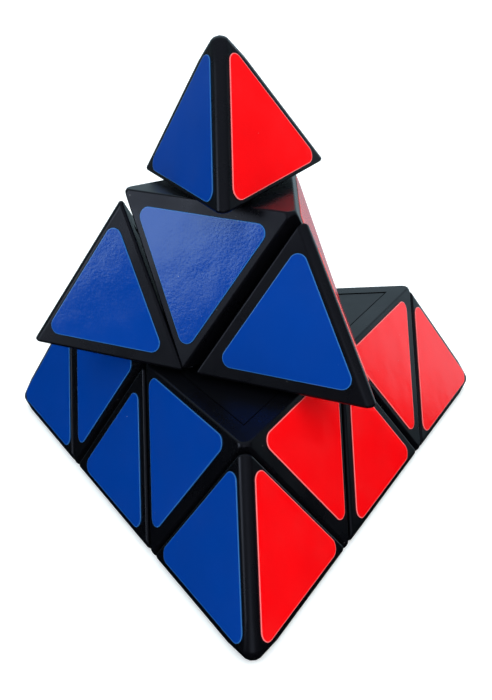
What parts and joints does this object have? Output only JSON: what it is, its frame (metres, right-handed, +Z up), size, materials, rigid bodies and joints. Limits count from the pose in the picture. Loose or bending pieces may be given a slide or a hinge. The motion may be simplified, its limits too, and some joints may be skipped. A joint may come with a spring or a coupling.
{
  "type": "pyramid twisty puzzle",
  "caption": "Tetrahedral twisty puzzle with stickered faces: tips, corner pieces and edge pieces turn about axes through a sprung core; shown with its top layer part-turned.",
  "frame": {"origin": "on the surface that the puzzle stands on, under the middle of the box round the whole puzzle as posed", "axes": "+Z up along the axis of the top layer; -Y towards the lower corner that faces the viewer; +X to the viewer's right, along the back edge of the base"},
  "size_m": [0.0942, 0.0854, 0.0781],
  "materials": {
    "shell_plastic": "moulded, glossy, lightly rubbed along its edges",
    "inner_plastic": "moulded, fine satin",
    "fastener_steel": "plain zinc-plated",
    "sticker_blue": "glossy vinyl",
    "sticker_red": "glossy vinyl",
    "sticker_green": "glossy vinyl",
    "sticker_yellow": "glossy vinyl"
  },
  "bodies": {
    "root": {"core": "inner_plastic", "top_screw": "fastener_steel", "top_washer": "fastener_steel", "top_spring": "fastener_steel", "front_screw": "fastener_steel", "front_washer": "fastener_steel", "front_spring": "fastener_steel", "right_screw": "fastener_steel", "right_washer": "fastener_steel", "right_spring": "fastener_steel", "left_screw": "fastener_steel", "left_washer": "fastener_steel", "left_spring": "fastener_steel", "front_axial_shell": "shell_plastic", "front_axial_inner": "inner_plastic", "right_axial_shell": "shell_plastic", "right_axial_inner": "inner_plastic", "left_axial_shell": "shell_plastic", "left_axial_inner": "inner_plastic", "front_right_edge_shell": "shell_plastic", "front_right_edge_foot": "inner_plastic", "right_left_edge_shell": "shell_plastic", "right_left_edge_foot": "inner_plastic", "left_front_edge_shell": "shell_plastic", "left_front_edge_foot": "inner_plastic"},
    "top_axial": {"top_axial_shell": "shell_plastic", "top_axial_inner": "inner_plastic"},
    "top_edges": {"top_front_edge_shell": "shell_plastic", "top_front_edge_foot": "inner_plastic", "top_right_edge_shell": "shell_plastic", "top_right_edge_foot": "inner_plastic", "top_left_edge_shell": "shell_plastic", "top_left_edge_foot": "inner_plastic"},
    "top_tip": {"top_tip_shell": "shell_plastic", "top_tip_base": "inner_plastic"},
    "front_tip": {"front_tip_shell": "shell_plastic", "front_tip_base": "inner_plastic"},
    "right_tip": {"right_tip_shell": "shell_plastic", "right_tip_base": "inner_plastic"},
    "left_tip": {"left_tip_shell": "shell_plastic", "left_tip_base": "inner_plastic"}
  },
  "joints": [
    {"name": "top_layer_turn", "type": "hinge", "parent": "root", "child": "top_axial", "pos_m": [0, 0.01158, 0.02], "axis": [0, 0, 1], "continuous": true},
    {"name": "top_edges_play", "type": "hinge", "parent": "top_axial", "child": "top_edges", "pos_m": [0, 0.01158, 0.02], "axis": [0, 0, 1], "range_deg": [-7.2, 0]},
    {"name": "top_tip_turn", "type": "hinge", "parent": "top_axial", "child": "top_tip", "pos_m": [-0.0007, 0.01158, 0.05384], "axis": [-0.0302, -0.0174, 0.9994], "continuous": true},
    {"name": "front_tip_turn", "type": "hinge", "parent": "root", "child": "front_tip", "pos_m": [0, -0.01985, 0.00889], "axis": [0, -0.9428, -0.3333], "continuous": true},
    {"name": "right_tip_turn", "type": "hinge", "parent": "root", "child": "right_tip", "pos_m": [0.02722, 0.0273, 0.00889], "axis": [0.8165, 0.4714, -0.3333], "continuous": true},
    {"name": "left_tip_turn", "type": "hinge", "parent": "root", "child": "left_tip", "pos_m": [-0.02722, 0.0273, 0.00889], "axis": [-0.8165, 0.4714, -0.3333], "continuous": true}
  ]
}
